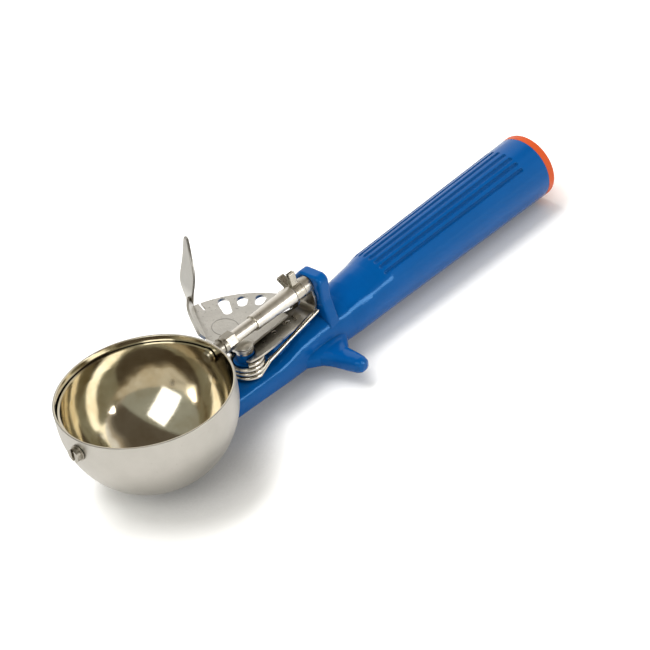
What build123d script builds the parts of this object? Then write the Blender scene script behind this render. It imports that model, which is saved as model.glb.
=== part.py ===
from build123d import *

import os
from math import asin, atan2, cos, degrees, hypot, pi, radians, sin, sqrt

os.makedirs("parts", exist_ok=True)

# Lever ice cream scoop. All lengths are mm.
# Every piece is first drawn about the centre of the bowl's rim: the handle runs along +X, the
# thumb lever stands on the +Y side and the bowl opens towards +Z. The end of this file moves
# them all so that the origin is the middle of the underside of the whole scoop.

# Bowl
BOWL_R = 29.0
BOWL_WALL = 0.8
BOWL_BAND = 4.9
RIM_FLAT = 0.36
AXIS_Z = -BOWL_BAND

# Shaft and its fits
SHAFT_R = 1.6
SHAFT_START = 26.3
SHAFT_END = 75.4
RUNNING_FIT = 0.05
BUSH_R = 2.4

# Lever pivot
PIVOT_X = 42.3
PIVOT_R = 1.5
FAN_TOP = -10.4
FAN_T = 1.0
FAN_BOTTOM = FAN_TOP - FAN_T

# Gearing: slots in the fan against teeth on the pinion
SLOT_PITCH = 13.6
FIRST_SLOT = 4.8
TEETH_PER_TURN = 7
TOOTH_PITCH = 360.0 / TEETH_PER_TURN
PINION_X = 68.1
PINION_TIP_R = 7.5
PINION_HUB_R = 3.2

# Handle
GRIP_Z = -22.4
GRIP_START = 103.6
GRIP_END = 183.7
HANDLE_END = 187.0
GRIP_R_START = 10.95
GRIP_R_END = 12.25
BORE_R = 8.7
BOSS_R = 4.3
BOSS_TOP = -12.4
BOSS_STEP = -15.4
BOSS_NECK_R = 3.05
GUARD_X = 73.5
GUARD_BACK_X = 78.0
GUARD_TOP = -1.1
GUARD_HALF = 6.2
POCKET_R = 3.0

# Bracket behind the mechanism
WALL_X = 72.4
SHEET_T = 0.9

# Steel strap inside the handle's arm
TANG_TOP = -23.4
TANG_T = 2.2
TANG_HALF = 4.0
TANG_END = 92.0
TANG_FOOT_T = 1.4

# Grooves of the grip, turned about its axis by GROOVE_PITCH degrees each
GROOVE_COUNT = 8
GROOVE_PITCH = 13.3
GROOVE_START = 102.2
GROOVE_END = 173.5
GROOVE_CUT_R = 0.72
GROOVE_DEPTH = 0.62

# Neck bush, nut and sleeve round the shaft
BUSH_END = 33.2
NUT_START = 33.4
NUT_END = 38.4
NUT_FLATS = 5.4
SLEEVE_STEP = 48.0
SLEEVE_END = 65.9
SLEEVE_BORE = SHAFT_R + RUNNING_FIT

# Bracket: EYE_R is the collar's radius, the DISH radius hollows the lower arm
EYE_R = 3.15
COLLAR_START = PINION_X + 2.1
TROUGH_FLOOR = -13.6
TROUGH_T = 0.7
DISH_R = 14.5
ELBOW_R = 3.1
ELBOW_HALF = 3.4
RIVET_X = (56.0, 62.5)

# Thumb lever in plan
FAN_RIM_R = 31.0
FAN_RIM_X = 40.6
FOLD_START = (38.6, 14.0)
FOLD_END = (48.6, 31.2)
NOTCH_R = 20.3
NOTCH_SIDE = 9.2
PADDLE_TIP_Z = 13.4
LEVER_BUSH_R = 2.2
BUSH_TOP = -10.25
WASHER_TOP = -11.6

# Return spring
WIRE_R = 0.75
COIL_R = 5.45
COIL_PITCH = 1.7
COIL_TURNS = 3.1
COIL_LOW = -19.9

# Scraper
BLADE_R = 27.9
BLADE_T = 0.7
BLADE_HALF = 2.5
LUG_R = 2.8
FRONT_PIN_R = 1.2

# Clip in a groove at the shaft's rear end
CLIP_X = 73.75
CLIP_T = 0.6
CLIP_SEAT_R = 1.2


def rod(radius, x_start, x_end, y=0.0, z=AXIS_Z):
    """Solid cylinder along X."""
    middle = Pos((x_start + x_end) / 2, y, z)
    return middle * Rot(0, 90, 0) * Cylinder(radius, x_end - x_start)


def post(radius, z_low, z_high, x=PIVOT_X, y=0.0):
    """Solid cylinder along Z."""
    return Pos(x, y, (z_low + z_high) / 2) * Cylinder(radius, z_high - z_low)


def block(x_low, x_high, y_low, y_high, z_low, z_high):
    """Solid box between two corners."""
    middle = Pos((x_low + x_high) / 2, (y_low + y_high) / 2, (z_low + z_high) / 2)
    return middle * Box(x_high - x_low, y_high - y_low, z_high - z_low)


def on_fan(radius, angle):
    """Plan position at a radius and an angle from +X about the lever pivot."""
    return (PIVOT_X + radius * cos(radians(angle)), radius * sin(radians(angle)))


def bowl_ball(radius):
    """Sphere about the middle of the bowl's hemisphere."""
    return Pos(0, 0, AXIS_Z) * Sphere(radius)


# ---------------------------------------------------------------- bowl


def make_bowl():
    """Hemisphere with a straight band and a narrow flat rim between two round edges."""
    inner_r = BOWL_R - BOWL_WALL
    edge_r = (BOWL_WALL - RIM_FLAT) / 2
    bottom = AXIS_Z - BOWL_R
    outline = [
        CenterArc((0, AXIS_Z), BOWL_R, -90, 90),
        Line((BOWL_R, AXIS_Z), (BOWL_R, -edge_r)),
        CenterArc((BOWL_R - edge_r, -edge_r), edge_r, 0, 90),
        Line((BOWL_R - edge_r, 0), (inner_r + edge_r, 0)),
        CenterArc((inner_r + edge_r, -edge_r), edge_r, 90, 90),
        Line((inner_r, -edge_r), (inner_r, AXIS_Z)),
        CenterArc((0, AXIS_Z), inner_r, 0, -90),
        Line((0, bottom + BOWL_WALL), (0, bottom)),
    ]
    shell = revolve(Plane.XZ * make_face(Curve() + outline), Axis.Z)
    shell -= rod(FRONT_PIN_R + RUNNING_FIT, -BOWL_R - 1, -inner_r + 2)
    shell -= rod(BUSH_R, inner_r - 2, BOWL_R + 1)
    return shell


# ---------------------------------------------------------------- blue handle


def make_tang():
    """Strap from a curved foot on the bowl's back into the handle."""
    strap = block(18, TANG_END, -TANG_HALF, TANG_HALF, TANG_TOP - TANG_T, TANG_TOP)
    foot = bowl_ball(BOWL_R + TANG_FOOT_T) & block(12, 30, -5.2, 5.2, -28.6, -21.6)
    tang = strap + foot - bowl_ball(BOWL_R)
    return tang - make_pivot_pin()


def egg(x, y, z_low, z_high, half_width, squareness, points=16):
    """Closed smooth section across X, from an ellipse (2) towards a rectangle (5)."""
    height = (z_high - z_low) / 2
    middle = (z_high + z_low) / 2
    power = 2.0 / squareness
    corners = []
    for step in range(points):
        angle = 2 * pi * step / points
        across = cos(angle)
        up = sin(angle)
        side = half_width * abs(across) ** power * (1 if across >= 0 else -1)
        rise = height * abs(up) ** power * (1 if up >= 0 else -1)
        corners.append((x, y + side, middle + rise))
    return make_face(Spline(*corners, periodic=True))


def make_arm():
    """Arm, neck and round grip, from the bowl's back to the end cap."""
    sections = [
        egg(17, 0, -30.2, -20.7, 6.4, 3.0),
        egg(36, 0, -30.6, -20.7, 6.9, 3.0),
        egg(50, 0, -31.1, -20.5, 7.3, 3.0),
        egg(55, 0, -31.4, -19.6, 7.5, 2.9),
        egg(61, 0, -31.7, -17.6, 7.8, 2.8),
        egg(67, 0, -32.0, -16.8, 8.1, 2.7),
        egg(76, 0, -32.4, -15.9, 8.5, 2.5),
        egg(83, -0.2, -32.8, -15.3, 9.0, 2.3),
        egg(88, -0.4, -33.1, -13.6, 9.6, 2.1),
        egg(93, -0.4, -33.2, -12.8, 10.1, 2.0),
        egg(98, -0.3, -33.2, -12.3, 10.4, 2.0),
        egg(GRIP_START, 0, GRIP_Z - GRIP_R_START, GRIP_Z + GRIP_R_START, GRIP_R_START, 2.0),
        egg(GRIP_END, 0, GRIP_Z - GRIP_R_END, GRIP_Z + GRIP_R_END, GRIP_R_END, 2.0),
    ]
    return loft(sections, ruled=True)


def make_grooves():
    """Cutters of the grip's grooves: rods with ball ends that follow the taper."""
    cutters = []
    slope = (GRIP_R_END - GRIP_R_START) / (GRIP_END - GRIP_START)
    offset = GROOVE_CUT_R - GROOVE_DEPTH
    low_r = GRIP_R_START + (GROOVE_START - GRIP_START) * slope + offset
    high_r = GRIP_R_START + (GROOVE_END - GRIP_START) * slope + offset
    length = hypot(GROOVE_END - GROOVE_START, high_r - low_r)
    tilt = degrees(atan2(high_r - low_r, GROOVE_END - GROOVE_START))
    for index in range(GROOVE_COUNT):
        turn = (index - (GROOVE_COUNT - 1) / 2) * GROOVE_PITCH
        cutter = Pos(0, 0, length / 2) * Cylinder(GROOVE_CUT_R, length)
        cutter += Sphere(GROOVE_CUT_R)
        cutter += Pos(0, 0, length) * Sphere(GROOVE_CUT_R)
        cutter = Pos(GROOVE_START, 0, low_r) * Rot(0, 90 - tilt, 0) * cutter
        cutters.append(Pos(0, 0, GRIP_Z) * Rot(turn, 0, 0) * cutter)
    return cutters


def make_guard():
    """Upright plate with cut corners, the near one smaller, and wider at its foot."""
    corner = 3.0
    near_corner = 1.6
    corner_r = 2.4
    foot_z = -17.0
    outline = Polyline(
        (-8.0, foot_z - 4),
        (-7.6, foot_z),
        (-GUARD_HALF, -10.5),
        (-GUARD_HALF, GUARD_TOP - near_corner),
        (-GUARD_HALF + near_corner, GUARD_TOP),
        (GUARD_HALF - corner, GUARD_TOP),
        (GUARD_HALF, GUARD_TOP - corner),
        (GUARD_HALF, -10.5),
        (7.6, foot_z),
        (8.0, foot_z - 4),
        close=True,
    )
    thickness = GUARD_BACK_X - GUARD_X
    shape = make_face(outline)
    upper = [vertex for vertex in shape.vertices() if vertex.Y > -8]
    shape = fillet(upper, corner_r)
    plate = extrude(Plane.YZ * shape, thickness)
    plate = Pos(GUARD_X, 0, 0) * plate
    rims = plate.edges().filter_by(Axis.X, reverse=True)
    rims = [edge for edge in rims if edge.center().Z > foot_z - 2]
    return fillet(rims, 0.9)


def hook_section(y, x_low, x_high, z_low, z_high, squareness, points=16):
    """Closed smooth section of the finger hook across Y."""
    corners = []
    power = 2.0 / squareness
    for step in range(points):
        angle = 2 * pi * step / points
        along = cos(angle)
        up = sin(angle)
        x = abs(along) ** power * (1 if along >= 0 else -1)
        z = abs(up) ** power * (1 if up >= 0 else -1)
        x = (x_high + x_low) / 2 + x * (x_high - x_low) / 2
        z = (z_high + z_low) / 2 + z * (z_high - z_low) / 2
        corners.append((x, y, z))
    return make_face(Spline(*corners, periodic=True))


def make_hook():
    """Finger hook that sweeps out and back to a blunt tip."""
    sections = [
        hook_section(-3.0, 57.0, 82.0, -30.6, -22.0, 2.6),
        hook_section(-7.5, 60.2, 80.6, -30.3, -23.4, 2.8),
        hook_section(-10.5, 64.2, 77.6, -30.1, -24.2, 3.0),
        hook_section(-14.5, 66.0, 74.0, -30.0, -24.5, 3.2),
        hook_section(-19.0, 67.0, 73.5, -30.0, -24.5, 3.4),
        hook_section(-22.6, 67.8, 73.1, -29.9, -24.6, 3.2),
        hook_section(-24.1, 68.4, 72.7, -29.4, -25.1, 2.8),
        hook_section(-24.7, 69.6, 71.6, -28.3, -26.2, 2.4),
    ]
    return loft(sections, ruled=True)


def make_handle(tang, pivot_pin, rivets):
    handle = make_arm() + [make_guard(), make_hook(), post(BOSS_R, -24.0, BOSS_STEP)]
    handle += post(BOSS_NECK_R, BOSS_STEP, BOSS_TOP)
    handle += make_bracket_seat()
    handle = handle - [bowl_ball(BOWL_R), rod(POCKET_R, GUARD_X - 1, SHAFT_END + 0.9), tang, pivot_pin]
    handle = handle - [*rivets, *make_grooves()]
    bore = rod(BORE_R, 98.0, GRIP_END + 1, z=GRIP_Z) + Pos(98.0, 0, GRIP_Z) * Sphere(BORE_R)
    return handle - bore


def make_end_cap():
    """Orange plug with a rounded rim and a hollow stem in the grip's bore."""
    stem_length = 14.0
    stem_wall = 2.0
    cap = rod(GRIP_R_END, GRIP_END, HANDLE_END, z=GRIP_Z)
    cap = fillet(cap.edges().group_by(Axis.X)[-1], 0.8)
    cap += rod(BORE_R, GRIP_END - stem_length, GRIP_END, z=GRIP_Z)
    hollow_end = GRIP_END - 1.0
    cap -= rod(BORE_R - stem_wall, GRIP_END - stem_length - 1, hollow_end, z=GRIP_Z)
    return cap


# ---------------------------------------------------------------- shaft housing


def make_neck_bush():
    """Bearing of the shaft in the bowl's rear wall, with a rounded outer flange."""
    bush = rod(BUSH_R, 28.15, BUSH_END)
    bush += rod(3.1, BOWL_R, 30.4)
    return bush - rod(SLEEVE_BORE, 20, 60)


def make_sleeve_nut():
    """Six-sided nut with a round collar, joining the sleeve to the bush."""
    nut = RegularPolygon(NUT_FLATS / 2, 6, major_radius=False)
    body = extrude(Plane.YZ * nut, NUT_END - NUT_START - 1.2)
    body = Pos(NUT_START + 1.2, 0, AXIS_Z) * body
    body += rod(2.9, BUSH_END, NUT_START + 1.2)
    return body - rod(SLEEVE_BORE, 20, 60)


def make_shaft_sleeve():
    """Tube that widens by a step into a hood, open below."""
    front = NUT_END
    neck = rod(2.25, front, SLEEVE_STEP + 0.5)
    wide_start = circle_face(SLEEVE_STEP, 2.75)
    wide_end = circle_face(SLEEVE_END, PINION_HUB_R)
    hood = loft([wide_start, wide_end])
    inside = loft([circle_face(SLEEVE_STEP + 1.2, 1.95), circle_face(SLEEVE_END, 2.4)])
    sides = block(SLEEVE_STEP + 1.2, SLEEVE_END, -1.9, 1.9, AXIS_Z - 4, AXIS_Z)
    hood -= inside
    hood -= sides
    hood -= block(SLEEVE_STEP + 1.2, SLEEVE_END + 1, -4, 4, AXIS_Z - 5, AXIS_Z - 1.5)
    return neck + hood - rod(SLEEVE_BORE, 20, 80)


def circle_face(x, radius):
    """Disc across X, centred on the shaft."""
    return Pos(x, 0, AXIS_Z) * (Plane.YZ * make_face(CenterArc((0, 0), radius, 0, 360)))


# ---------------------------------------------------------------- bracket


def make_bracket(rivets):
    """Bent sheet: rear wall with a collar round the shaft and a dished lower arm."""
    outline = Polyline(
        (-ELBOW_HALF, -11.4),
        (-3.6, -10.2),
        (-3.7, -8.8),
        (-3.4, -7.7),
        (-EYE_R + 0.1, -6.2),
        (-EYE_R + 0.1, AXIS_Z),
        (EYE_R - 0.1, AXIS_Z),
        (EYE_R - 0.1, -6.2),
        (3.4, -7.7),
        (3.7, -8.8),
        (3.6, -10.2),
        (ELBOW_HALF, -11.4),
        close=True,
    )
    wall = Pos(WALL_X, 0, 0) * extrude(Plane.YZ * make_face(outline), SHEET_T)
    collar = rod(EYE_R, COLLAR_START, WALL_X + SHEET_T)
    middle_x = WALL_X + SHEET_T - ELBOW_R
    middle_z = TROUGH_FLOOR - TROUGH_T + ELBOW_R
    inner_z = middle_z - ELBOW_R + TROUGH_T
    bend = [
        CenterArc((middle_x, middle_z), ELBOW_R, -90, 90),
        Line((WALL_X + SHEET_T, middle_z), (WALL_X, middle_z)),
        ThreePointArc((WALL_X, middle_z), (middle_x + 1.62, middle_z - 1.74), (middle_x, inner_z)),
        Line((middle_x, inner_z), (middle_x, middle_z - ELBOW_R)),
    ]
    elbow = extrude(Plane.XZ * make_face(Curve() + bend), ELBOW_HALF, both=True)
    bracket = wall + collar + elbow + make_trough()
    return bracket - [rod(EYE_R - 0.8, 60, 80), *rivets]


def dish(extra):
    """Cylinder along X whose lowest line is the trough's floor."""
    return rod(DISH_R + extra, 34, 71, z=TROUGH_FLOOR + DISH_R)


def make_trough():
    """Leaf-shaped lower arm, dished along its length, wider on its near side, open at the boss."""
    far_side = [
        (39.4, 5.1),
        (41.8, 5.9),
        (46.0, 6.2),
        (53.0, 6.0),
        (60.0, 5.2),
        (66.0, 4.2),
        (70.4, ELBOW_HALF),
    ]
    near_side = [
        (70.4, -ELBOW_HALF),
        (66.0, -4.2),
        (60.0, -5.3),
        (53.0, -6.6),
        (46.0, -7.2),
        (41.8, -6.6),
        (39.4, -5.3),
    ]
    outline = [
        Spline(*far_side),
        Line(far_side[-1], near_side[0]),
        Spline(*near_side),
        Line(near_side[-1], far_side[0]),
    ]
    leaf = make_face(Curve() + outline)
    slab = Pos(0, 0, TROUGH_FLOOR - 2) * extrude(leaf, 5)
    trough = slab & (dish(TROUGH_T) - dish(0))
    opening = BOSS_NECK_R + 0.35
    return trough - post(opening, -20, -8) - block(30, PIVOT_X, -opening, opening, -20, -8)


def make_bracket_seat():
    """Raised pad of the handle under the bracket's lower arm."""
    pad = block(51.5, 70.0, -3.4, 3.4, -20.0, -12.5)
    pad = fillet(pad.edges().filter_by(Axis.Z), 1.6)
    return pad - dish(TROUGH_T)


def make_bracket_rivets():
    """Two round-headed rivets through the bracket's lower arm into the handle."""
    rivets = []
    for x in RIVET_X:
        shank = post(0.9, -21.5, TROUGH_FLOOR + 0.1, x=x)
        head = Pos(x, 0, TROUGH_FLOOR - 1.62) * Sphere(1.9)
        head &= block(x - 3, x + 3, -3, 3, TROUGH_FLOOR, TROUGH_FLOOR + 3)
        rivets.append(shank + head)
    return rivets


def make_rear_bush():
    """Bearing of the shaft inside the bracket's collar."""
    bush = rod(EYE_R - 0.8, COLLAR_START, WALL_X + SHEET_T)
    return bush - rod(SLEEVE_BORE, 60, 80)


# ---------------------------------------------------------------- thumb lever


def slot_cutter(angle, r_low, r_high, width_low, width_high):
    """Tapered slot with round ends, pointing at the lever pivot."""
    low = width_low / 2
    high = width_high / 2
    a = r_low + low
    b = r_high - high
    lean = asin((high - low) / (b - a))
    edges = [
        Line(
            (a - low * sin(lean), low * cos(lean)),
            (b - high * sin(lean), high * cos(lean)),
        ),
        Line(
            (a - low * sin(lean), -low * cos(lean)),
            (b - high * sin(lean), -high * cos(lean)),
        ),
        CenterArc((a, 0), low, 90 + degrees(lean), 180 - 2 * degrees(lean)),
        CenterArc((b, 0), high, -90 - degrees(lean), 180 + 2 * degrees(lean)),
    ]
    slot = extrude(make_face(Curve() + edges), 6, both=True)
    return Pos(PIVOT_X, 0, FAN_BOTTOM) * Rot(0, 0, angle) * slot


def make_fan():
    """Flat slotted quadrant of the lever."""
    eye_r = 3.2
    rim_hit = rim_point(NOTCH_SIDE)
    eye_left = (PIVOT_X - eye_r * cos(radians(8)), eye_r * sin(radians(8)))
    notch_low = on_fan(NOTCH_R, -1.5)
    notch_high = on_fan(NOTCH_R, 7.6)
    notch_side = on_fan(NOTCH_R + 1.0, NOTCH_SIDE)
    rim_mid = rim_point(45)
    outline = [
        Line(notch_side, rim_hit),
        ThreePointArc(rim_hit, rim_mid, FOLD_END),
        Line(FOLD_END, FOLD_START),
        Line(FOLD_START, eye_left),
        ThreePointArc(eye_left, (PIVOT_X, -eye_r), (PIVOT_X + eye_r * 0.9, -eye_r * 0.436)),
        Line((PIVOT_X + eye_r * 0.9, -eye_r * 0.436), notch_low),
        ThreePointArc(notch_low, on_fan(NOTCH_R, 3), notch_high),
        Line(notch_high, notch_side),
    ]
    fan = Pos(0, 0, FAN_BOTTOM) * extrude(make_face(Curve() + outline), FAN_T)
    for index in (1, 2, 3):
        angle = FIRST_SLOT + index * SLOT_PITCH
        fan -= slot_cutter(angle, 22.4, 28.3, 3.1, 4.0)
    fan -= slot_cutter(FIRST_SLOT + 4 * SLOT_PITCH, 19.7, 29.6, 3.0, 4.0)
    fan -= make_slit()
    return fan


def rim_point(angle):
    """Point of the fan's rim at an angle about the lever pivot."""
    across = PIVOT_X - FAN_RIM_X
    run = -across * cos(radians(angle))
    run += sqrt(FAN_RIM_R**2 - (across * sin(radians(angle))) ** 2)
    return on_fan(run, angle)


def make_slit():
    """Narrow relief slit from the rim beside the fold."""
    start = (52.0, 31.5)
    end = (49.9, 26.0)
    length = hypot(end[0] - start[0], end[1] - start[1])
    turn = degrees(atan2(end[1] - start[1], end[0] - start[0]))
    cut = Pos(length / 2, 0, 0) * Box(length, 0.8, 6)
    cut += Pos(length, 0, 0) * Cylinder(0.4, 6)
    return Pos(start[0], start[1], FAN_BOTTOM) * Rot(0, 0, turn) * cut


def make_flange():
    """Upturned strip along the fold that steepens into the thumb paddle."""
    run = (FOLD_END[0] - FOLD_START[0], FOLD_END[1] - FOLD_START[1])
    length = hypot(*run)
    turn = degrees(atan2(run[1], run[0]))
    stations = [
        (0.4, 54, 2.9, 0.0),
        (4.0, 54, 3.2, 0.0),
        (12.0, 55, 3.3, 0.0),
        (17.0, 66, 3.6, 0.1),
        (length + 1.0, 86, 4.0, 0.6),
    ]
    sections = []
    for along, lift, height, inset in stations:
        strip = Pos(height / 2, 0) * Rectangle(height, FAN_T)
        frame = Plane(
            origin=(along, -inset, FAN_BOTTOM + FAN_T / 2),
            x_dir=(0, cos(radians(lift)), sin(radians(lift))),
            z_dir=(1, 0, 0),
        )
        sections.append(frame * strip)
    flange = loft(sections, ruled=False)
    return Pos(FOLD_START[0], FOLD_START[1], 0) * Rot(0, 0, turn) * flange


def make_paddle():
    """Leaf-shaped thumb rest, leaning back near its tip."""
    turn = 73.0
    stations = [
        (FAN_BOTTOM, 50.2, 33.5, 4.2),
        (-8.5, 50.2, 33.2, 5.4),
        (-4.5, 50.2, 33.0, 8.6),
        (-1.0, 50.1, 32.0, 9.7),
        (3.0, 50.2, 30.7, 9.2),
        (7.5, 51.1, 30.5, 6.8),
        (11.0, 52.8, 31.8, 4.3),
        (PADDLE_TIP_Z, 54.3, 33.1, 2.0),
    ]
    sections = []
    for z, x, y, width in stations:
        leaf = RectangleRounded(width, FAN_T, 0.35)
        sections.append(Pos(x, y, z) * Rot(0, 0, turn) * leaf)
    return loft(sections)


def make_lever_plate():
    plate = make_fan() + make_flange() + make_paddle()
    return plate - post(LEVER_BUSH_R, -14, -8)


def make_lever_bush():
    """Bush fixed in the fan, turning on the pivot pin."""
    bush = post(LEVER_BUSH_R, WASHER_TOP + 0.1, BUSH_TOP)
    return bush - post(PIVOT_R + RUNNING_FIT, -14, -8)


def make_pivot_pin():
    """Dome-headed pin set in the boss."""
    head_low = BUSH_TOP + 0.1
    head_r = 3.2
    dome_r = 5.0
    pin = post(PIVOT_R, -28.0, head_low + 0.3)
    head = post(head_r, head_low, head_low + 2.0)
    dome_centre = head_low + 1.35 - dome_r
    head &= Pos(PIVOT_X, 0, dome_centre) * Sphere(dome_r)
    return pin + head


def make_pivot_washer():
    washer = post(3.0, BOSS_TOP, WASHER_TOP)
    return washer - post(PIVOT_R, -14, -8)


# ---------------------------------------------------------------- return spring


def make_return_spring():
    """Torsion coil round the boss with a long leg towards the guard."""
    height = COIL_PITCH * COIL_TURNS
    helix = Helix(COIL_PITCH, height, COIL_R, lefthand=True)
    start = Plane(origin=helix @ 0, z_dir=helix % 0)
    coil = sweep(start * Circle(WIRE_R), path=helix, is_frenet=True)
    coil = Pos(PIVOT_X, 0, COIL_LOW) * Rot(0, 0, -90) * coil
    foot = (PIVOT_X, -COIL_R, COIL_LOW)
    knee = (46.6, -6.1, -16.7)
    leg_r = WIRE_R - 0.02
    spring = coil + Pos(*foot) * Sphere(WIRE_R + 0.03)
    spring += bar(foot, knee, leg_r)
    return spring + bar(knee, (71.6, -4.9, -12.8), leg_r)


def bar(start, end, radius):
    """Round bar between two points, with a ball at its far end."""
    a = Vector(*start)
    b = Vector(*end)
    direction = b - a
    base = Plane(origin=a, z_dir=direction)
    return extrude(base * Circle(radius), direction.length) + Pos(*end) * Sphere(radius)


# ---------------------------------------------------------------- scraper and drive


def make_scraper_blade():
    """Half-round band with round lugs at both poles."""
    inner_r = BLADE_R - BLADE_T
    shell = bowl_ball(BLADE_R) - bowl_ball(inner_r)
    band = block(-30, 30, 0, 30, AXIS_Z - BLADE_HALF, AXIS_Z + BLADE_HALF)
    poles = rod(LUG_R, -30, -20) + rod(LUG_R, 20, 30)
    blade = shell & (band + poles)
    blade -= rod(FRONT_PIN_R, -30, -20)
    return blade - rod(SHAFT_R, 20, 30)


def make_scraper_hub():
    """Low riveted collar with two flats, holding the blade's rear lug on the shaft."""
    inner_r = BLADE_R - BLADE_T
    hub = rod(1.95, SHAFT_START, 28) & block(20, 28, -3, 3, AXIS_Z - 1.75, AXIS_Z + 1.75)
    hub &= bowl_ball(inner_r)
    return hub - rod(SHAFT_R, 20, 30)


def make_shaft(pinion_pin):
    shaft = rod(SHAFT_R, SHAFT_START, SHAFT_END)
    shaft = fillet(shaft.edges().group_by(Axis.X)[-1], 0.7)
    groove = rod(SHAFT_R + 1, CLIP_X, CLIP_X + CLIP_T) - rod(CLIP_SEAT_R, 70, 80)
    return shaft - pinion_pin - groove


def make_pinion(pinion_pin):
    """Hub with four forked teeth."""
    width = 2.6
    half_root = 1.0
    half_tooth = 0.8
    half_tip = 0.58
    half_fork = 0.3
    fork_r = 5.6
    hub = rod(PINION_HUB_R, PINION_X - 2.0, PINION_X + 2.0)
    tooth = Polyline(
        (2.0, -half_root),
        (PINION_TIP_R - 0.4, -half_tooth),
        (PINION_TIP_R, -half_tip),
        (PINION_TIP_R, -half_fork),
        (fork_r, -half_fork),
        (fork_r, half_fork),
        (PINION_TIP_R, half_fork),
        (PINION_TIP_R, half_tip),
        (PINION_TIP_R - 0.4, half_tooth),
        (2.0, half_root),
        close=True,
    )
    blank = extrude(Plane.YZ * make_face(tooth), width / 2, both=True)
    pinion = hub
    for index in range(4):
        turn = 90 - FIRST_SLOT / SLOT_PITCH * TOOTH_PITCH - index * TOOTH_PITCH
        pinion += Pos(PINION_X, 0, AXIS_Z) * Rot(-turn, 0, 0) * blank
    return pinion - rod(SHAFT_R, 60, 80) - pinion_pin


def make_pinion_pin():
    """Cross pin through the hub and the shaft."""
    turn = 90 + 33.0
    pin = Cylinder(0.5, 2 * PINION_HUB_R - 0.3)
    return Pos(PINION_X + 1.35, 0, AXIS_Z) * Rot(turn, 0, 0) * pin


def make_shaft_clip():
    """Open ring in the shaft's groove."""
    ring = rod(2.5, CLIP_X, CLIP_X + CLIP_T) - rod(CLIP_SEAT_R, 70, 80)
    gap = block(CLIP_X - 1, CLIP_X + 2, -0.8, 0.8, AXIS_Z, AXIS_Z + 4)
    return ring - gap


def make_front_pin():
    """Stud of the blade's front lug: journal in the wall, notched head outside."""
    washer_end = -BOWL_R - 0.1 - 0.5
    pin = rod(FRONT_PIN_R, washer_end - 1.0, -BLADE_R + BLADE_T)
    pin += rod(2.3, washer_end - 1.7, washer_end)
    pin += rod(1.9, -BLADE_R + BLADE_T, -BLADE_R + BLADE_T + 0.9)
    notch = block(-40, washer_end - 0.7, -0.7, 0.7, AXIS_Z - 4, AXIS_Z + 4)
    blade_shell = bowl_ball(BLADE_R) - bowl_ball(BLADE_R - BLADE_T) - rod(FRONT_PIN_R, -40, 0)
    return pin - notch - blade_shell


def make_front_washer():
    washer = rod(2.7, -BOWL_R - 0.1 - 0.5, -BOWL_R - 0.1)
    return washer - rod(FRONT_PIN_R, -40, -20)


# ---------------------------------------------------------------- assembly

pinion_pin = make_pinion_pin()
tang = make_tang()
pivot_pin = make_pivot_pin()
rivets = make_bracket_rivets()

PIECES = {
    "bowl": make_bowl(),
    "bowl_tang": tang,
    "handle": make_handle(tang, pivot_pin, rivets),
    "end_cap": make_end_cap(),
    "neck_bush": make_neck_bush(),
    "sleeve_nut": make_sleeve_nut(),
    "shaft_sleeve": make_shaft_sleeve(),
    "frame_bracket": make_bracket(rivets),
    "bracket_rivets": Compound(children=rivets),
    "rear_bush": make_rear_bush(),
    "pivot_pin": pivot_pin,
    "pivot_washer": make_pivot_washer(),
    "return_spring": make_return_spring(),
    "lever_plate": make_lever_plate(),
    "lever_bush": make_lever_bush(),
    "scraper_blade": make_scraper_blade(),
    "scraper_hub": make_scraper_hub(),
    "shaft": make_shaft(pinion_pin),
    "pinion": make_pinion(pinion_pin),
    "pinion_pin": pinion_pin,
    "front_pin": make_front_pin(),
    "front_washer": make_front_washer(),
    "shaft_clip": make_shaft_clip(),
}

whole = Compound(children=[Pos(0, 0, 0) * piece for piece in PIECES.values()])
box = whole.bounding_box()
SHIFT = (-(box.min.X + box.max.X) / 2, -(box.min.Y + box.max.Y) / 2, -box.min.Z)
for name, piece in PIECES.items():
    export_step(Pos(*SHIFT) * piece, f"parts/{name}.step")
print("shift", SHIFT, "size", box.size)
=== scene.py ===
import math

import bpy
import mathutils
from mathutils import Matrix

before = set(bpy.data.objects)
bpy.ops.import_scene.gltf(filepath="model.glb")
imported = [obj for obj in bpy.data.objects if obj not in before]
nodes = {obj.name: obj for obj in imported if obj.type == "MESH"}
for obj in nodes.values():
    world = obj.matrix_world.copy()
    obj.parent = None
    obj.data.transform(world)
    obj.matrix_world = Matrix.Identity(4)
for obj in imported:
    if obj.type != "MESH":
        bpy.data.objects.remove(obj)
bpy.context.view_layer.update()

# Lengths are in metres, in the frame of the CAD: +X from the bowl to the grip's end, +Y towards
# the thumb lever and +Z up from the floor.

# ---------------------------------------------------------------- named values

# Middle of the bowl's hemisphere, and the radius that parts its inner face from its outer one
BOWL_MIDDLE = (-0.07785, -0.0040974, 0.02975)
BOWL_SPLIT = 0.0286
SPLIT_BLUR = 0.0001

# Bare oval pressed into the fan: middle, turn in radians, long half and short half
STAMP = ((-0.0312, 0.00867, 0.0), 1.43, 0.00523, 0.00411)
STAMP_DEPTH = 0.00006
STAMP_SHADE = 0.6
STAMP_LINE = (0.015, 0.055)
ANY_HEIGHT = 1000.0

# Steel: stains, pits, painted shade in the recesses, and painted shade on the thumb paddle above a
# height
STAIN_SCALE = 90.0
STAIN_SHADE = 0.84
FLECK_SCALE = 900.0
PIT_SHADE = 0.45
# Painted shade in recesses: its tint and the range of its mask
RECESS_SHADE_TINT = (1.0, 0.93, 0.80)
RECESS_SHADE_RANGE = (0.15, 0.75)
# Painted shade on the thumb paddle: the height it starts at, its blend, and its darkening
PADDLE_HEIGHT = 0.026
PADDLE_BLEND = 0.006
PADDLE_PAINTED_SHADES = (0.50, 0.68)
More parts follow.
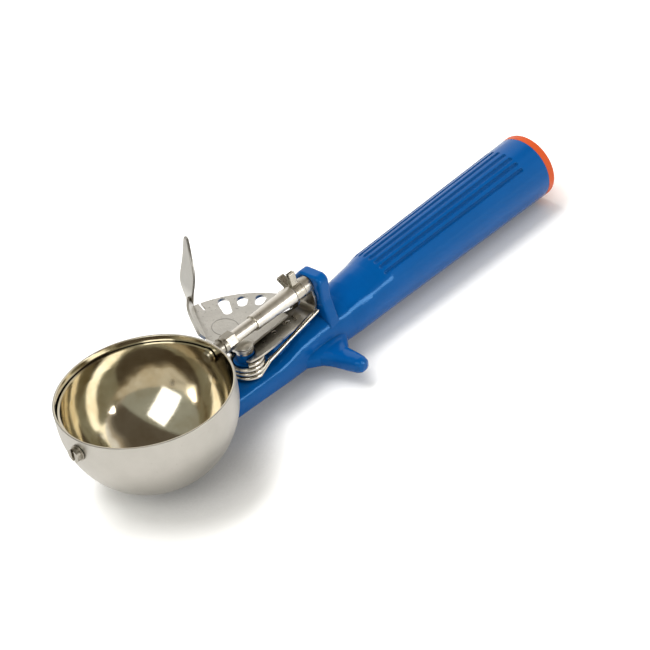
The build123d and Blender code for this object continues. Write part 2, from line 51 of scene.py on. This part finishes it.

# Plastic: cloudiness, painted shade in the grooves and softened edges
CLOUD_SHADE = 0.88
GROOVE_PAINTED_SHADE = 0.45
GROOVE_REACH = 0.0016
GROOVE_RANGE = (0.35, 0.85)
MOULDED_EDGE = 0.0006

SATIN = (0.68, 0.65, 0.595)
BLUE = (0.0007, 0.092, 0.345)
ORANGE = (0.70, 0.100, 0.022)

# Floor: painted shadow near the part (darker by the bowl than by the grip), tones in the open, and
# as a camera ray sees it
FLOOR_HALF = 6.0
FLOOR_DROP = 0.0002
FLOOR_ROUGH = 0.9
FLOOR_REACH = 0.024
FLOOR_LEAN = (-0.50, 0.34, 0.78)
FLOOR_PAINTED_SHADOW_RANGE = (0.20, 0.88)
FLOOR_PAINTED_SHADOW_BOWL = (0.28, 0.28, 0.28)
FLOOR_PAINTED_SHADOW_GRIP = (0.62, 0.61, 0.60)
BOWL_TO_GRIP = (-0.05, 0.03)
FLOOR_OPEN = (0.88, 0.88, 0.88)
FLOOR_SEEN = (1.20, 1.20, 1.20)
FLOOR_GLOW = 0.08
GLOW_DISTANCE = (0.22, 0.9)

# Surroundings: colours from low down to overhead, and a grey wall beyond the bowl
SKY_LEAN = (-0.46, -0.16, 1.0)
SKY_UNEVEN = 0.7
SKY_NOISE = (1.7, 1.5, 0.5)
SKY = [
    (0.30, (1.0, 0.99, 0.97)),
    (0.68, (0.95, 0.93, 0.90)),
    (0.78, (0.50, 0.44, 0.35)),
    (0.90, (0.20, 0.175, 0.14)),
    (1.0, (0.12, 0.10, 0.075)),
]
WALL_SIDE = (-0.95, -0.16, -0.27)
WALL_EDGE = 0.05
WALL = (0.36, 0.36, 0.30)
WHITE = (1.0, 1.0, 1.0)

# Lamps: name, place, size, watts, roll in degrees, and whether shiny surfaces mirror it
LAMPS = [
    ("key", (-0.12, 0.36, 1.16), (1.0, 0.42), 10.2, 0.0, False),
    ("side", (0.35, -1.08, 0.36), (0.44, 0.30), 3.6, -36.0, True),
    ("window", (-0.816, -0.34, 0.811), (0.60, 0.92), 3.6, -22.5, True),
]

# Camera: lens and sensor in mm, place, and its right, up and back directions
CAMERA_LENS = 127.38
CAMERA_SENSOR = 36.0
CAMERA_PLACE = (-0.41086, -0.47848, 0.45531)
CAMERA_AXES = (
    (0.67361, -0.72386, -0.14926),
    (0.51086, 0.31007, 0.80179),
    (-0.53411, -0.61634, 0.57866),
)

# ---------------------------------------------------------------- node helpers


class Nodes:
    """Short ways to add and join the nodes of a material or of the surroundings."""

    def __init__(self, tree):
        self.tree = tree
        self.coords = tree.nodes.new("ShaderNodeTexCoord")

    def node(self, kind, **values):
        """New node, with inputs and settings given by name."""
        made = self.tree.nodes.new(kind)
        for key, value in values.items():
            if key in made.inputs:
                made.inputs[key].default_value = value
            else:
                setattr(made, key, value)
        return made

    def feed(self, value, socket):
        """Puts another node's output, a colour or a plain value into a socket."""
        if isinstance(value, bpy.types.NodeSocket):
            self.tree.links.new(value, socket)
        elif socket.type == "RGBA":
            socket.default_value = (*value, 1.0)
        else:
            socket.default_value = value

    def noise(self, scale, detail=4.0, rough=0.6, vector=None):
        made = self.node("ShaderNodeTexNoise", Scale=scale, Detail=detail, Roughness=rough)
        self.feed(vector or self.coords.outputs["Object"], made.inputs["Vector"])
        return made.outputs["Fac"]

    def ramp(self, value, stops):
        """Colour ramp with (position, colour) stops."""
        made = self.node("ShaderNodeValToRGB")
        items = made.color_ramp.elements
        while len(items) < len(stops):
            items.new(0.5)
        for item, (place, colour) in zip(items, stops):
            item.position = place
            item.color = (*colour, 1.0)
        self.feed(value, made.inputs["Fac"])
        return made.outputs["Color"]

    def fit(self, value, low, high, to_low, to_high):
        """Carries low to high over to to_low to to_high, and holds it at both ends."""
        limits = {"From Min": low, "From Max": high, "To Min": to_low, "To Max": to_high}
        made = self.node("ShaderNodeMapRange", **limits)
        self.feed(value, made.inputs["Value"])
        return made.outputs["Result"]

    def math(self, operation, *values):
        made = self.node("ShaderNodeMath", operation=operation)
        for value, socket in zip(values, made.inputs):
            self.feed(value, socket)
        return made.outputs["Value"]

    def vector(self, operation, *values):
        """Vector maths: a number for a length or dot product, and else a vector."""
        made = self.node("ShaderNodeVectorMath", operation=operation)
        for value, socket in zip(values, made.inputs):
            self.feed(value, socket)
        is_number = operation in ("LENGTH", "DOT_PRODUCT")
        return made.outputs["Value" if is_number else "Vector"]

    def split(self, vector):
        """The X, Y and Z of a vector."""
        made = self.node("ShaderNodeSeparateXYZ")
        self.feed(vector, made.inputs["Vector"])
        return [made.outputs[axis] for axis in "XYZ"]

    def join(self, x, y=0.0):
        made = self.node("ShaderNodeCombineXYZ")
        self.feed(x, made.inputs["X"])
        self.feed(y, made.inputs["Y"])
        return made.outputs["Vector"]

    def mix(self, factor, first, second, blend="MIX"):
        made = self.node("ShaderNodeMix", data_type="RGBA", blend_type=blend)
        sockets = {socket.name: socket for socket in made.inputs if socket.enabled}
        self.feed(factor, sockets["Factor"])
        self.feed(first, sockets["A"])
        self.feed(second, sockets["B"])
        return [socket for socket in made.outputs if socket.enabled][-1]


class Shader(Nodes):
    """One procedural material: a Principled shader and the textures that feed it."""

    def __init__(self, name):
        self.material = bpy.data.materials.new(name)
        self.material.use_nodes = True
        super().__init__(self.material.node_tree)
        self.shader = self.tree.nodes["Principled BSDF"]

    def set(self, socket, value):
        self.feed(value, self.shader.inputs[socket])

    def stretched(self, scale):
        """Object coordinates scaled differently along each axis."""
        made = self.node("ShaderNodeMapping", Scale=scale)
        self.feed(self.coords.outputs["Object"], made.inputs["Vector"])
        return made.outputs["Vector"]

    def recess(self, reach, low, high, towards=None):
        """One in the open, falling to nothing in narrow gaps and corners."""
        made = self.node("ShaderNodeAmbientOcclusion", samples=8, Distance=reach)
        if towards is not None:
            self.feed(self.vector("NORMALIZE", towards), made.inputs["Normal"])
        return self.fit(made.outputs["AO"], low, high, 0.0, 1.0)

    def round_edges(self, radius):
        """Normal that runs softly over sharp edges, as a worn or deburred edge does."""
        return self.node("ShaderNodeBevel", Radius=radius, samples=6).outputs["Normal"]

    def oval_line(self, middle, turn, long_half, short_half):
        """One on a thin oval line round middle, seen from above, and nothing elsewhere."""
        made = self.node("ShaderNodeMapping", vector_type="TEXTURE", Location=middle,
                         Rotation=(0, 0, turn), Scale=(long_half, short_half, ANY_HEIGHT))
        self.feed(self.coords.outputs["Object"], made.inputs["Vector"])
        radius = self.vector("LENGTH", made.outputs["Vector"])
        off = self.math("ABSOLUTE", self.math("SUBTRACT", radius, 1.0))
        return self.fit(off, *STAMP_LINE, 1.0, 0.0)

    def bump(self, height, distance, strength=1.0, below=None):
        """Raises the surface by height times distance, over the normal given as below."""
        made = self.node("ShaderNodeBump", Strength=strength, Distance=distance)
        self.feed(height, made.inputs["Height"])
        if below is not None:
            self.feed(below, made.inputs["Normal"])
        self.set("Normal", made.outputs["Normal"])
        return made.outputs["Normal"]


def shade(colour, by):
    return tuple(c * by for c in colour)


# ---------------------------------------------------------------- materials


def steel(name, colour, rough, grain_scale=(300, 300, 300), grain=0.00002, spots=0.0,
          edge=0.0002, recess_shade=0.45, reach=0.005, painted_shade_above=None, stamp=None):
    """Worn steel: fine grain, faint stains, painted shade in the recesses and above a given height,
    and slightly rounded edges.
    """
    made = Shader(name)
    made.set("Metallic", 1.0)
    stain = made.noise(STAIN_SCALE, 5.0)
    fleck = made.noise(FLECK_SCALE, 3.0)
    tone = made.ramp(stain, [(0.35, shade(colour, STAIN_SHADE)), (0.62, colour)])
    if spots:
        pitted = made.fit(fleck, 0.62, 0.72, 0.0, spots)
        tone = made.mix(pitted, tone, shade(colour, PIT_SHADE))
    # Painted shade: the colour darkens above the given height, on the thumb paddle
    if painted_shade_above is not None:
        height = made.split(made.coords.outputs["Object"])[2]
        shaded_above = made.fit(height, painted_shade_above, painted_shade_above + PADDLE_BLEND, 0.0, 1.0)
        painted_paddle_shade = made.mix(stain, *(shade(colour, by) for by in PADDLE_PAINTED_SHADES))
        tone = made.mix(shaded_above, tone, painted_paddle_shade)
    # Painted shade: the colour darkens in narrow gaps and corners, where shade falls
    painted_recess_shade = tuple(c * k * recess_shade for c, k in zip(colour, RECESS_SHADE_TINT))
    tone = made.mix(made.recess(reach, *RECESS_SHADE_RANGE), painted_recess_shade, tone)

    lines = made.noise(1.0, 4.0, 0.7, made.stretched(grain_scale))
    scuff = made.math("ADD", made.fit(stain, 0.3, 0.7, -0.05, 0.06), rough)
    made.set("Roughness", made.math("ADD", scuff, made.fit(lines, 0.3, 0.7, -0.05, 0.05)))
    first = made.bump(lines, grain, 1.0, made.round_edges(edge))
    second = made.bump(fleck, grain * 1.5, 1.0, first)
    if stamp is not None:
        pressed = made.oval_line(*stamp)
        made.bump(pressed, STAMP_DEPTH, 1.0, second)
        tone = made.mix(pressed, tone, shade(colour, STAMP_SHADE))
    made.set("Base Color", tone)
    return made.material


def bowl_finish(name):
    """Spun steel: satin outside, polished and warmly tarnished inside the BOWL_SPLIT radius."""
    made = Shader(name)
    made.set("Metallic", 1.0)
    x, y, z = made.split(made.vector("SUBTRACT", made.coords.outputs["Object"], BOWL_MIDDLE))
    from_axis = made.vector("LENGTH", made.join(x, y))
    radius = made.vector("LENGTH", made.join(from_axis, made.math("MINIMUM", z, 0.0)))
    outside = made.fit(radius, BOWL_SPLIT - SPLIT_BLUR, BOWL_SPLIT + SPLIT_BLUR, 0.0, 1.0)

    cloud = made.noise(70.0, 5.0)
    fleck = made.noise(1100.0, 3.0)
    rings = made.noise(2600.0, 3.0, 0.7, made.join(from_axis))
    tarnish = made.ramp(cloud, [(0.33, (0.60, 0.52, 0.38)), (0.52, (0.70, 0.65, 0.53)),
                                (0.72, (0.80, 0.745, 0.61))])
    satin_tone = made.ramp(cloud, [(0.3, (0.50, 0.48, 0.435)), (0.65, (0.575, 0.55, 0.505))])
    pitted = made.fit(fleck, 0.66, 0.74, 0.0, 0.35)
    satin_tone = made.mix(pitted, satin_tone, (0.42, 0.38, 0.32))
    made.set("Base Color", made.mix(outside, tarnish, satin_tone))

    ringed = made.fit(rings, 0.3, 0.7, 0.045, 0.11)
    inside_rough = made.math("ADD", ringed, made.fit(cloud, 0.35, 0.7, 0.0, 0.05))
    outside_rough = made.fit(cloud, 0.3, 0.7, 0.34, 0.44)
    change = made.math("MULTIPLY", outside, made.math("SUBTRACT", outside_rough, inside_rough))
    made.set("Roughness", made.math("ADD", inside_rough, change))
    first = made.bump(rings, 0.000007)
    second = made.bump(made.noise(45.0, 2.0), 0.00012, 0.25, first)
    made.bump(fleck, 0.000012, 0.6, second)
    return made.material


def plastic(name, colour, rough, gloss_tint):
    """Moulded plastic: faint cloudiness, painted shade in the grooves, fine texture and rubbed
    patches.
    """
    made = Shader(name)
    cloud = made.noise(60.0, 4.0)
    tone = made.ramp(cloud, [(0.3, shade(colour, CLOUD_SHADE)), (0.7, colour)])
    # Painted shade: the colour darkens in the grooves and narrow gaps, where shade falls
    open_part = made.recess(GROOVE_REACH, *GROOVE_RANGE)
    made.set("Base Color", made.mix(open_part, shade(colour, GROOVE_PAINTED_SHADE), tone))
    made.set("Specular IOR Level", 0.5)
    made.set("Specular Tint", gloss_tint)
    grain = made.noise(2600.0, 2.0)
    rubbed = made.fit(made.noise(140.0, 6.0), 0.35, 0.7, rough - 0.05, rough + 0.08)
    made.set("Roughness", rubbed)
    first = made.bump(grain, 0.000012, 1.0, made.round_edges(MOULDED_EDGE))
    made.bump(made.noise(110.0, 3.0), 0.00016, 0.32, first)
    return made.material


satin = steel("satin_steel", SATIN, 0.12, (900, 200, 200))
pin_steel = steel("pin_steel", (0.68, 0.65, 0.58), 0.42, (300, 300, 300), 0.00005, 0.5)
# The fan's thumb paddle gets a painted shade above PADDLE_HEIGHT
fan_steel = steel("fan_steel", (0.73, 0.71, 0.66), 0.33, (260, 260, 260), 0.00005, 0.85,
                  reach=0.009, painted_shade_above=PADDLE_HEIGHT, stamp=STAMP)
# The bracket's trough and gaps get a strong painted shade
sheet = steel("sheet_steel", (0.62, 0.58, 0.505), 0.30, (700, 240, 240), 0.00002, 0.35,
              recess_shade=0.17, reach=0.011)
tube = steel("tube_steel", (0.85, 0.81, 0.73), 0.30, (700, 240, 240), 0.00002, 0.35,
             recess_shade=0.40, reach=0.006)
wire = steel("spring_wire", (0.70, 0.655, 0.575), 0.16, (500, 500, 500))
nut_steel = steel("nut_steel", (0.46, 0.43, 0.37), 0.30, (400, 400, 400), 0.00003, 0.4)
cast = steel("pinion_metal", (0.58, 0.54, 0.46), 0.20, (400, 400, 400), 0.00004, 0.6)
brass = steel("brass_bush", (0.71, 0.52, 0.25), 0.25, (600, 600, 600))
bowl_steel = bowl_finish("bowl_steel")
blue = plastic("blue_plastic", BLUE, 0.09, (0.20, 0.50, 0.85))
orange = plastic("orange_plastic", ORANGE, 0.42, (0.70, 0.40, 0.25))

FINISH = {
    "bowl": bowl_steel,
    "bowl_tang": satin,
    "handle": blue,
    "end_cap": orange,
    "neck_bush": nut_steel,
    "sleeve_nut": nut_steel,
    "shaft_sleeve": tube,
    "frame_bracket": sheet,
    "bracket_rivets": satin,
    "rear_bush": brass,
    "pivot_pin": pin_steel,
    "pivot_washer": satin,
    "return_spring": wire,
    "lever_plate": fan_steel,
    "lever_bush": brass,
    "scraper_blade": bowl_steel,
    "scraper_hub": satin,
    "shaft": satin,
    "pinion": cast,
    "pinion_pin": satin,
    "front_pin": nut_steel,
    "front_washer": nut_steel,
    "shaft_clip": wire,
}

for name, finish in FINISH.items():
    for slot in nodes[name].material_slots:
        slot.link = "OBJECT"
        slot.material = finish

# ---------------------------------------------------------------- floor, light, camera


def put_in_scene(name, data):
    made = bpy.data.objects.new(name, data)
    bpy.context.scene.collection.objects.link(made)
    return made


def floor_finish():
    """Plain floor that keeps the shadow, with a painted shadow near the part: paler to camera rays,
    and glowing more far away.
    """
    made = Shader("floor")
    path = made.node("ShaderNodeLightPath")
    to_camera = path.outputs["Is Camera Ray"]
    # Painted shadow: the floor darkens near the part, leaning to one side, and less towards the
    # grip
    painted_shadow_mask = made.recess(FLOOR_REACH, *FLOOR_PAINTED_SHADOW_RANGE, FLOOR_LEAN)
    open_tone = made.mix(to_camera, FLOOR_OPEN, FLOOR_SEEN)
    along = made.fit(made.split(made.coords.outputs["Object"])[0], *BOWL_TO_GRIP, 0.0, 1.0)
    painted_shadow_tone = made.mix(along, FLOOR_PAINTED_SHADOW_BOWL, FLOOR_PAINTED_SHADOW_GRIP)
    made.set("Base Color", made.mix(painted_shadow_mask, painted_shadow_tone, open_tone))
    made.set("Roughness", FLOOR_ROUGH)
    made.set("Specular IOR Level", 0.0)

    direct = made.math("MAXIMUM", to_camera, path.outputs["Is Glossy Ray"])
    away = made.vector("LENGTH", made.coords.outputs["Object"])
    glowing = made.fit(away, *GLOW_DISTANCE, FLOOR_GLOW, 1.0)
    glow = made.node("ShaderNodeEmission")
    made.feed(made.math("MULTIPLY", direct, glowing), glow.inputs["Strength"])
    both = made.node("ShaderNodeAddShader")
    made.feed(made.shader.outputs["BSDF"], both.inputs[0])
    made.feed(glow.outputs["Emission"], both.inputs[1])
    made.feed(both.outputs["Shader"], made.tree.nodes["Material Output"].inputs["Surface"])
    return made.material


def shadow_floor():
    """Square floor just under the part."""
    mesh = bpy.data.meshes.new("floor")
    signs = ((-1, -1), (1, -1), (1, 1), (-1, 1))
    corners = [(x * FLOOR_HALF, y * FLOOR_HALF, 0) for x, y in signs]
    mesh.from_pydata(corners, [], [(0, 1, 2, 3)])
    mesh.materials.append(floor_finish())
    floor = put_in_scene("floor", mesh)
    floor.location.z = -FLOOR_DROP


def area(name, place, size, power, roll, mirrored):
    """Soft rectangular lamp aimed at the scoop, rolled about its axis by some degrees."""
    data = bpy.data.lights.new(name, "AREA")
    data.shape = "RECTANGLE"
    data.size, data.size_y = size
    data.energy = power
    lamp = put_in_scene(name, data)
    lamp.location = place
    lamp.visible_glossy = mirrored
    aim = -mathutils.Vector(place)
    roll_turn = mathutils.Quaternion((0, 0, 1), math.radians(roll))
    lamp.rotation_euler = (aim.to_track_quat("-Z", "Y") @ roll_turn).to_euler()


def studio_world():
    """Bright low down, dark and warm overhead, a grey wall beyond the bowl, white to the camera."""
    world = bpy.data.worlds.new("studio")
    bpy.context.scene.world = world
    world.use_nodes = True
    made = Nodes(world.node_tree)
    outwards = made.coords.outputs["Generated"]
    height = made.vector("DOT_PRODUCT", outwards, SKY_LEAN)
    uneven = made.noise(*SKY_NOISE, outwards)
    sky = made.ramp(made.math("MULTIPLY_ADD", uneven, SKY_UNEVEN, height), SKY)
    beyond = made.vector("DOT_PRODUCT", outwards, WALL_SIDE)
    lit = made.mix(made.fit(beyond, 0.0, WALL_EDGE, 0.0, 1.0), sky, WALL, "LIGHTEN")
    to_camera = made.node("ShaderNodeLightPath").outputs["Is Camera Ray"]
    back = made.tree.nodes["Background"]
    made.feed(made.mix(to_camera, lit, WHITE), back.inputs["Color"])
    made.feed(1.0, back.inputs["Strength"])


def camera():
    """Camera at the picture's angle."""
    data = bpy.data.cameras.new("camera")
    data.sensor_width = CAMERA_SENSOR
    data.lens = CAMERA_LENS
    eye = put_in_scene("camera", data)
    right, up, back = (mathutils.Vector(v) for v in CAMERA_AXES)
    turn = mathutils.Matrix((right, up, back)).transposed()
    eye.matrix_world = mathutils.Matrix.Translation(CAMERA_PLACE) @ turn.to_4x4()
    bpy.context.scene.camera = eye


shadow_floor()
studio_world()
for lamp in LAMPS:
    area(*lamp)
camera()

scene = bpy.context.scene
scene.view_settings.view_transform = "Standard"
